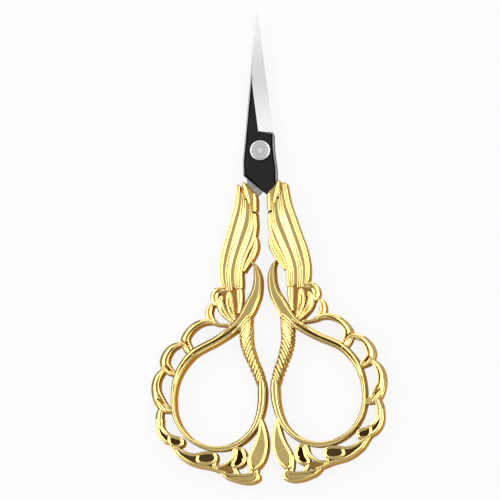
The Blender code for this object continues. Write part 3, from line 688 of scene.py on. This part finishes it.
def gold_plate(name, overall_pits):
    """Bright gold plate, browned and darkened with painted shade on its walls, grooves and pockets,
    and pebbled in the leaves' hollows.
    """
    material = node_tree(name)
    tree = material.node_tree
    shader = tree.nodes["Principled BSDF"]
    shader.inputs["Metallic"].default_value = 1.0
    group = add_node(tree, "ShaderNodeGroup", node_tree=skin)
    group.inputs["Swell"].default_value = 1.0
    dark = add_node(tree, "ShaderNodeAttribute", attribute_name="dark")
    pebble = add_node(tree, "ShaderNodeAttribute", attribute_name="pebble")
    pits = add_node(tree, "ShaderNodeMath", {1: PEBBLE_PITS, 2: overall_pits},
                    operation="MULTIPLY_ADD")
    tree.links.new(pebble.outputs["Fac"], pits.inputs[0])
    tree.links.new(pits.outputs[0], group.inputs["Pits"])
    tone = add_node(tree, "ShaderNodeMix", data_type="RGBA")
    tone.inputs[6].default_value = GOLD_PALE
    tone.inputs[7].default_value = GOLD_WARM
    shader.inputs["Specular Tint"].default_value = GOLD_ASLANT
    # Painted shade and reflection: the side attribute browns the walls
    wall = add_node(tree, "ShaderNodeAttribute", attribute_name="side")
    wall_shade_mix = add_node(tree, "ShaderNodeMix", data_type="RGBA")
    wall_shade_mix.inputs[7].default_value = PAINTED_WALL_SHADE
    # Painted shade: the dark attribute darkens grooves, slits, pockets and the walls' top edges
    deep = add_node(tree, "ShaderNodeMix", data_type="RGBA")
    deep.inputs[7].default_value = PAINTED_POCKET_SHADE
    tree.links.new(group.outputs["Smudge"], tone.inputs[0])
    tree.links.new(dark.outputs["Fac"], deep.inputs[0])
    tree.links.new(wall.outputs["Fac"], wall_shade_mix.inputs[0])
    tree.links.new(tone.outputs[2], wall_shade_mix.inputs[6])
    tree.links.new(wall_shade_mix.outputs[2], deep.inputs[6])
    tree.links.new(deep.outputs[2], shader.inputs["Base Color"])
    sheen = add_node(tree, "ShaderNodeMapRange",
                     {"From Min": 0.3, "From Max": 0.7, "To Min": 0.10, "To Max": 0.15})
    matt = add_node(tree, "ShaderNodeMath", {1: PEBBLE_MATT}, operation="MULTIPLY")
    rough = add_node(tree, "ShaderNodeMath", operation="ADD")
    tree.links.new(group.outputs["Smudge"], sheen.inputs["Value"])
    tree.links.new(pebble.outputs["Fac"], matt.inputs[0])
    tree.links.new(sheen.outputs[0], rough.inputs[0])
    tree.links.new(matt.outputs[0], rough.inputs[1])
    tree.links.new(rough.outputs[0], shader.inputs["Roughness"])
    relief = add_node(tree, "ShaderNodeBump", {"Strength": 0.35, "Distance": 0.00008})
    tree.links.new(group.outputs["Height"], relief.inputs["Height"])
    tree.links.new(relief.outputs[0], shader.inputs["Normal"])
    return material


right_casting.data.materials.append(gold_plate("right_gold_plate", 0.0))
left_casting.data.materials.append(gold_plate("left_gold_plate", 0.25))
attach(right_casting, "front_half")
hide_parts("right_handle")
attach(left_casting, "rear_half")
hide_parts("left_handle")


# The blades. Each is stamped from steel, coated black, and ground bright on its bevel and on its
# flat inner face. Its tang is fixed in a casting. The rear one is turned over and a little slimmer.
BLADE_LOW, BLADE_HIGH = 0.15, 1.65
EDGE_HEIGHT = 0.30
BEVEL_FOOT = Vector((-0.45, 5.35))
EDGE_TIP, EDGE_FOOT = Vector((0.2, 37.6)), Vector((3.35, 5.0))
# The outline runs down the cutting edge, round the tang and up the spine
EDGE_SIDE = (tuple(EDGE_TIP), tuple(EDGE_FOOT), (3.72, 4.45), (3.84, 3.7), (3.78, 0.6),
             (3.95, -1.8), (4.22, -4.2), (4.32, -6.0), (4.25, -7.4), (4.3, -9.0), (4.5, -12.0),
             (3.6, -20.0), (2.5, -20.0), (2.3, -11.2), (1.75, -12.2), (1.0, -11.75))
TANG_CORNERS = 6
FRONT_SPINE = ((-4.7, -6.75), (-5.02, -6.4), (-5.15, -5.9), (-5.12, -2.7), (-2.07, 21.3),
               (-0.15, 37.6))
REAR_SPINE = ((-3.7, -7.35), (-4.0, -6.9), (-4.1, -6.2), (-3.95, -2.7), (-3.3, 1.5), (-1.6, 21.3),
              (-0.15, 37.5))
EDGE_ROUNDING = 0.85
PIVOT_HOLE_RADIUS, PIVOT_HOLE_DEPTH, PIVOT_HOLE_SIDES = 1.9, 6, 48
# The grindstone that cuts the bevel. Its foot leans back below a height along the blade.
STONE_WIDTH, STONE_LENGTH, STONE_HEIGHT = 12, 60, 8
STONE_FOOT, STONE_LEAN = 12, 3.8
# The finishes, and how far up a face's normal points for each. Bright steel on the sloping facets
# is a painted highlight and stays off the heel; a darker coat on the nearly level facets and the
# walls is painted shade.
COAT, GROUND, SHADE_FACET, HIGHLIGHT_FACET = range(4)
UNDERSIDE = -0.9
LEVEL_FACE, GENTLE_FACE, STEEP_FACE, WALL_FACE = 0.99, 0.86, 0.5, 0.05
HEEL_FACE = -0.4


def blade_mesh(name, spine, worn_width):
    """One blade lying face up, with its edges rounded, its bevel ground and its hole cut."""
    outline = EDGE_SIDE + spine
    body = plate_from(outline, BLADE_LOW, BLADE_HIGH)
    count = len(outline)
    rounded = set(range(2, len(EDGE_SIDE) - TANG_CORNERS))
    rounded |= set(range(len(EDGE_SIDE) - 1, count - 1))
    corners = [Vector(corner) for corner in outline]
    middles = [(corners[i] + corners[(i + 1) % count]) / 2 for i in range(count)]
    rims = []
    for edge in body.edges:
        if min(vert.co.z for vert in edge.verts) < BLADE_HIGH - SAME_HEIGHT:
            continue
        middle = sum((vert.co.xy for vert in edge.verts), Vector((0, 0))) / 2
        nearest = min(range(count), key=lambda i: (middle - middles[i]).length)
        if nearest in rounded:
            rims.append(edge)
    bmesh.ops.bevel(body, geom=rims, offset=worn_width, segments=3, profile=0.5, affect="EDGES",
                    material=-1, clamp_overlap=False)
    body.normal_update()
    # Facets by slope: a darker coat as painted shade on nearly level facets and walls, bright steel
    # as a painted highlight on sloping ones
    for face in body.faces:
        upward = face.normal.z
        if upward < UNDERSIDE:
            face.material_index = GROUND
        elif GENTLE_FACE < upward < LEVEL_FACE:
            face.material_index = SHADE_FACET
        elif STEEP_FACE < upward <= GENTLE_FACE and face.normal.y > HEEL_FACE:
            face.material_index = HIGHLIGHT_FACET
        elif WALL_FACE < upward <= STEEP_FACE:
            face.material_index = SHADE_FACET
    edge_line = (EDGE_TIP - EDGE_FOOT).normalized()
    away = Vector((edge_line.y, -edge_line.x))
    slope = (BLADE_HIGH - EDGE_HEIGHT) / (EDGE_FOOT - BEVEL_FOOT).dot(away)
    across = (EDGE_FOOT - BEVEL_FOOT).normalized()
    stone = bmesh.new()
    verts = []
    for place in (BEVEL_FOOT, BEVEL_FOOT + across * STONE_WIDTH,
                  BEVEL_FOOT + across * STONE_WIDTH + edge_line * STONE_LENGTH,
                  BEVEL_FOOT + edge_line * STONE_LENGTH):
        high = BLADE_HIGH - slope * (place - BEVEL_FOOT).dot(away)
        verts.append(stone.verts.new((place.x, place.y, high)))
    face = stone.faces.new(verts)
    grown = bmesh.ops.extrude_face_region(stone, geom=[face])
    top = [item for item in grown["geom"] if isinstance(item, bmesh.types.BMVert)]
    bmesh.ops.translate(stone, vec=(0, 0, STONE_HEIGHT), verts=top)
    ramp = [vert for vert in top if vert.co.y < STONE_FOOT]
    bmesh.ops.translate(stone, vec=(0, -STONE_LEAN, 0), verts=ramp)
    bmesh.ops.create_cone(stone, cap_ends=True, segments=PIVOT_HOLE_SIDES, depth=PIVOT_HOLE_DEPTH,
                          radius1=PIVOT_HOLE_RADIUS, radius2=PIVOT_HOLE_RADIUS)
    bmesh.ops.recalc_face_normals(stone, faces=stone.faces)
    for face in stone.faces:
        face.material_index = GROUND
    blade = object_from(name, body)
    tool = object_from("grindstone", stone)
    for thing in (blade, tool):
        for material in (black_coat, ground_steel, shaded_coat_rim, painted_highlight_edge):
            thing.data.materials.append(material)
    cut = blade.modifiers.new("cut", "BOOLEAN")
    cut.operation, cut.solver, cut.object = "DIFFERENCE", "EXACT", tool
    cut.material_mode = "INDEX"
    finished = blade.evaluated_get(bpy.context.evaluated_depsgraph_get())
    mesh = bpy.data.meshes.new_from_object(finished)
    blade.modifiers.clear()
    bpy.data.objects.remove(tool)
    blade.data = mesh
    mesh.transform(TO_PLACE)
    return blade


# Scratches of a grinding wheel: fine lines across the blade, in long and short runs. Painted shade
# darkens the tone towards a middle this far along Y, in metres: it stands in for the dimmer
# reflection of the hollow-ground bevel there.
SHADE_MIDDLE, SHADE_REACH = 0.0475, 0.016
SHADED_TONE, UNSHADED_TONE = 0.78, 1.03
lines = node_tree("grinding_lines", "ShaderNodeTree")
socket(lines, "Slant", "NodeSocketFloat", value=0.0)
socket(lines, "Height", "NodeSocketFloat", "OUTPUT")
socket(lines, "Streak", "NodeSocketFloat", "OUTPUT")
socket(lines, "Painted Shade", "NodeSocketFloat", "OUTPUT")
given = add_node(lines, "NodeGroupInput")
result = add_node(lines, "NodeGroupOutput")
place = add_node(lines, "ShaderNodeTexCoord")
angle = add_node(lines, "ShaderNodeCombineXYZ")
turned = add_node(lines, "ShaderNodeVectorRotate", rotation_type="EULER_XYZ")
squash = add_node(lines, "ShaderNodeMapping")
squash.inputs["Scale"].default_value = (0.06, 1.0, 1.0)
fine = add_node(lines, "ShaderNodeTexNoise", {"Scale": 9000.0, "Detail": 2.0, "Roughness": 0.6})
broad = add_node(lines, "ShaderNodeTexNoise", {"Scale": 1500.0, "Detail": 3.0, "Roughness": 0.6})
lines.links.new(given.outputs["Slant"], angle.inputs["Z"])
lines.links.new(place.outputs["Object"], turned.inputs["Vector"])
lines.links.new(angle.outputs[0], turned.inputs["Rotation"])
lines.links.new(turned.outputs[0], squash.inputs["Vector"])
lines.links.new(squash.outputs[0], fine.inputs["Vector"])
lines.links.new(squash.outputs[0], broad.inputs["Vector"])
along = add_node(lines, "ShaderNodeSeparateXYZ")
offset = add_node(lines, "ShaderNodeMath", {1: SHADE_MIDDLE}, operation="SUBTRACT")
gap = add_node(lines, "ShaderNodeMath", operation="ABSOLUTE")
painted_shade = add_node(lines, "ShaderNodeMapRange",
                {"From Min": 0.0, "From Max": SHADE_REACH,
                 "To Min": SHADED_TONE, "To Max": UNSHADED_TONE},
                interpolation_type="SMOOTHSTEP")
lines.links.new(place.outputs["Object"], along.inputs[0])
lines.links.new(along.outputs["Y"], offset.inputs[0])
lines.links.new(offset.outputs[0], gap.inputs[0])
lines.links.new(gap.outputs[0], painted_shade.inputs["Value"])
lines.links.new(painted_shade.outputs[0], result.inputs["Painted Shade"])
lines.links.new(fine.outputs["Fac"], result.inputs["Height"])
lines.links.new(broad.outputs["Fac"], result.inputs["Streak"])


def steel_finish(name, metallic, light, dark, roughness, spread, strength, slant, specular=0.5):
    """Steel or coated steel: two tones and a roughness that follow the grinding lines, and painted
    shade along the blade.
    """
    material = node_tree(name)
    tree = material.node_tree
    shader = tree.nodes["Principled BSDF"]
    shader.inputs["Metallic"].default_value = metallic
    shader.inputs["Specular IOR Level"].default_value = specular
    group = add_node(tree, "ShaderNodeGroup", node_tree=lines)
    group.inputs["Slant"].default_value = slant
    tone = add_node(tree, "ShaderNodeMix", data_type="RGBA")
    tone.inputs[6].default_value = (*dark, 1)
    tone.inputs[7].default_value = (*light, 1)
    sheen = add_node(tree, "ShaderNodeMapRange",
                     {"From Min": 0.3, "From Max": 0.7,
                      "To Min": roughness, "To Max": roughness + spread})
    relief = add_node(tree, "ShaderNodeBump", {"Strength": strength, "Distance": 0.00002})
    tree.links.new(group.outputs["Streak"], tone.inputs[0])
    # Painted shade, darker towards a middle along the blade
    shade = add_node(tree, "ShaderNodeMix", data_type="RGBA", blend_type="MULTIPLY")
    shade.inputs[0].default_value = 1.0
    tree.links.new(tone.outputs[2], shade.inputs[6])
    tree.links.new(group.outputs["Painted Shade"], shade.inputs[7])
    tree.links.new(shade.outputs[2], shader.inputs["Base Color"])
    tree.links.new(group.outputs["Streak"], sheen.inputs["Value"])
    tree.links.new(sheen.outputs[0], shader.inputs["Roughness"])
    tree.links.new(group.outputs["Height"], relief.inputs["Height"])
    tree.links.new(relief.outputs[0], shader.inputs["Normal"])
    return material


black_coat = steel_finish("black_coat", 0.0, light=(0.014, 0.014, 0.014),
                          dark=(0.010, 0.010, 0.010), roughness=0.16, spread=0.05, strength=0.05,
                          slant=0.3, specular=0.30)
ground_steel = steel_finish("ground_steel", 1.0, light=(0.48, 0.48, 0.48), dark=(0.42, 0.42, 0.42),
                            roughness=0.28, spread=0.05, strength=0.06, slant=0.35)
# Painted shade: a darker, duller copy of the black coat on the edges' nearly level facets and walls
shaded_coat_rim = steel_finish("shaded_coat_rim", 0.0, light=(0.003, 0.003, 0.003), dark=(0.001, 0.001, 0.001),
                        roughness=0.40, spread=0.10, strength=0.1, slant=0.3, specular=0.08)
shaded_coat_rim.node_tree.nodes["Principled BSDF"].inputs["IOR"].default_value = 1.2
# A painted highlight: bright steel on the blade edges' sloping facets
painted_highlight_edge = steel_finish("painted_highlight_edge", 1.0, light=(0.92, 0.92, 0.90), dark=(0.78, 0.78, 0.76),
                         roughness=0.30, spread=0.10, strength=0.1, slant=0.3)
front_blade = blade_mesh("front_blade_steel", FRONT_SPINE, EDGE_ROUNDING)
rear_blade = blade_mesh("rear_blade_steel", REAR_SPINE, EDGE_ROUNDING)
rear_blade.data.transform(TURNED_OVER)
for blade, half, node in ((front_blade, "front_half", "front_blade"),
                          (rear_blade, "rear_half", "rear_blade")):
    blade.data.shade_flat()
    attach(blade, half)
    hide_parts(node)


# The pivot: a turned steel barrel with a ringed head in front, and a slotted screw from behind.
# Both are satin steel, with the lathe's rings still on the faces.
HEAD_RADIUS, HEAD_SEAT, HEAD_TOP = 2.75, 1.95, 2.75
BARREL_RADIUS, BARREL_BACK = 1.6, -1.65
BORE_RADIUS, BORE_END = 1.2, 0.6
RING_PITCH, RING_DEPTH = 0.34, 0.035
# The rings stop short of the head's edge, and each has its crest and valley at these places
RING_MARGIN, RING_QUARTER = 0.45, 0.25
CENTRE_DIP = 0.03
TURNED_CORNER = math.radians(35)


def turned_piece(profile, segments=96):
    """Spin a half outline of (radius, height) once round the pivot's axis."""
    bm = bmesh.new()
    verts = [bm.verts.new((radius, 0, z)) for radius, z in profile]
    edges = [bm.edges.new(pair) for pair in zip(verts, verts[1:])]
    bmesh.ops.spin(bm, geom=verts + edges, angle=2 * math.pi, steps=segments, axis=(0, 0, 1),
                   cent=(0, 0, 0), use_merge=True, use_normal_flip=False)
    bmesh.ops.remove_doubles(bm, verts=bm.verts, dist=1e-5)
    bmesh.ops.recalc_face_normals(bm, faces=bm.faces)
    return bm


profile = [(0.0, HEAD_TOP - CENTRE_DIP)]
radius = RING_PITCH
while radius < HEAD_RADIUS - RING_MARGIN:
    profile += [(radius - RING_QUARTER * RING_PITCH, HEAD_TOP - RING_DEPTH),
                (radius + RING_QUARTER * RING_PITCH, HEAD_TOP)]
    radius += RING_PITCH
profile += [(HEAD_RADIUS - 0.28, HEAD_TOP), (HEAD_RADIUS - 0.10, HEAD_TOP - 0.06),
            (HEAD_RADIUS - 0.02, HEAD_TOP - 0.2), (HEAD_RADIUS, HEAD_TOP - 0.4),
            (HEAD_RADIUS, HEAD_SEAT + 0.1), (HEAD_RADIUS - 0.1, HEAD_SEAT),
            (BARREL_RADIUS, HEAD_SEAT), (BARREL_RADIUS, BARREL_BACK),
            (BORE_RADIUS, BARREL_BACK), (BORE_RADIUS, BORE_END), (0, BORE_END)]
barrel = turned_piece(profile)
bmesh.ops.transform(barrel, matrix=TO_PLACE, verts=barrel.verts)
pivot_head = object_from("pivot_head", barrel)
pivot_head.data.shade_smooth()
pivot_head.data.set_sharp_from_angle(angle=TURNED_CORNER)

SCREW_BACK, SCREW_SEAT, SCREW_RADIUS = -2.55, -1.95, 2.4
SHANK_RADIUS, SHANK_END, SHANK_TIP = 0.9, 0.4, 0.5
SLOT_HALF, SLOT_DEPTH = 0.35, 0.3
SAW_REACH, SAW_BACK = 4, 0.5
profile = [(0.0, SCREW_BACK), (SCREW_RADIUS - 0.3, SCREW_BACK),
           (SCREW_RADIUS - 0.1, SCREW_BACK + 0.07), (SCREW_RADIUS, SCREW_BACK + 0.25),
           (SCREW_RADIUS, SCREW_SEAT), (SHANK_RADIUS, SCREW_SEAT), (SHANK_RADIUS, SHANK_END),
           (0.0, SHANK_TIP)]
screw = turned_piece(profile)
slot_cut = plate_from(((-SAW_REACH, -SLOT_HALF), (SAW_REACH, -SLOT_HALF),
                       (SAW_REACH, SLOT_HALF), (-SAW_REACH, SLOT_HALF)),
                      SCREW_BACK - SAW_BACK, SCREW_BACK + SLOT_DEPTH)
pivot_screw = object_from("slotted_screw", screw)
saw = object_from("saw", slot_cut)
cut = pivot_screw.modifiers.new("cut", "BOOLEAN")
cut.operation, cut.solver, cut.object = "DIFFERENCE", "EXACT", saw
finished = pivot_screw.evaluated_get(bpy.context.evaluated_depsgraph_get())
mesh = bpy.data.meshes.new_from_object(finished)
pivot_screw.modifiers.clear()
bpy.data.objects.remove(saw)
pivot_screw.data = mesh
mesh.transform(TO_PLACE)
mesh.shade_smooth()
mesh.set_sharp_from_angle(angle=TURNED_CORNER)

# Satin steel, whose tone and sheen change from ring to ring round the pivot's axis
satin = node_tree("satin_steel")
tree = satin.node_tree
shader = tree.nodes["Principled BSDF"]
shader.inputs["Metallic"].default_value = 1.0
place = add_node(tree, "ShaderNodeTexCoord")
centre = add_node(tree, "ShaderNodeMapping")
centre.inputs["Location"].default_value = tuple(-PIVOT * MM)
flatten = add_node(tree, "ShaderNodeVectorMath", operation="MULTIPLY")
flatten.inputs[1].default_value = (1, 1, 0)
distance = add_node(tree, "ShaderNodeVectorMath", operation="LENGTH")
rings = add_node(tree, "ShaderNodeTexNoise", {"Scale": 2600.0, "Detail": 2.0, "Roughness": 0.7},
                 noise_dimensions="1D")
tone = add_node(tree, "ShaderNodeMapRange",
                {"From Min": 0.35, "From Max": 0.65, "To Min": 0.56, "To Max": 0.82})
sheen = add_node(tree, "ShaderNodeMapRange",
                 {"From Min": 0.3, "From Max": 0.7, "To Min": 0.24, "To Max": 0.36})
relief = add_node(tree, "ShaderNodeBump", {"Strength": 0.4, "Distance": 0.00002})
tree.links.new(place.outputs["Object"], centre.inputs["Vector"])
tree.links.new(centre.outputs[0], flatten.inputs[0])
tree.links.new(flatten.outputs[0], distance.inputs[0])
tree.links.new(distance.outputs["Value"], rings.inputs["W"])
tree.links.new(rings.outputs["Fac"], tone.inputs["Value"])
tree.links.new(rings.outputs["Fac"], sheen.inputs["Value"])
tree.links.new(rings.outputs["Fac"], relief.inputs["Height"])
tree.links.new(tone.outputs[0], shader.inputs["Base Color"])
tree.links.new(sheen.outputs[0], shader.inputs["Roughness"])
tree.links.new(relief.outputs[0], shader.inputs["Normal"])
for piece, node in ((pivot_head, "pivot_barrel"), (pivot_screw, "pivot_screw")):
    piece.data.materials.clear()
    piece.data.materials.append(satin)
    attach(piece, "front_half")
    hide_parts(node)
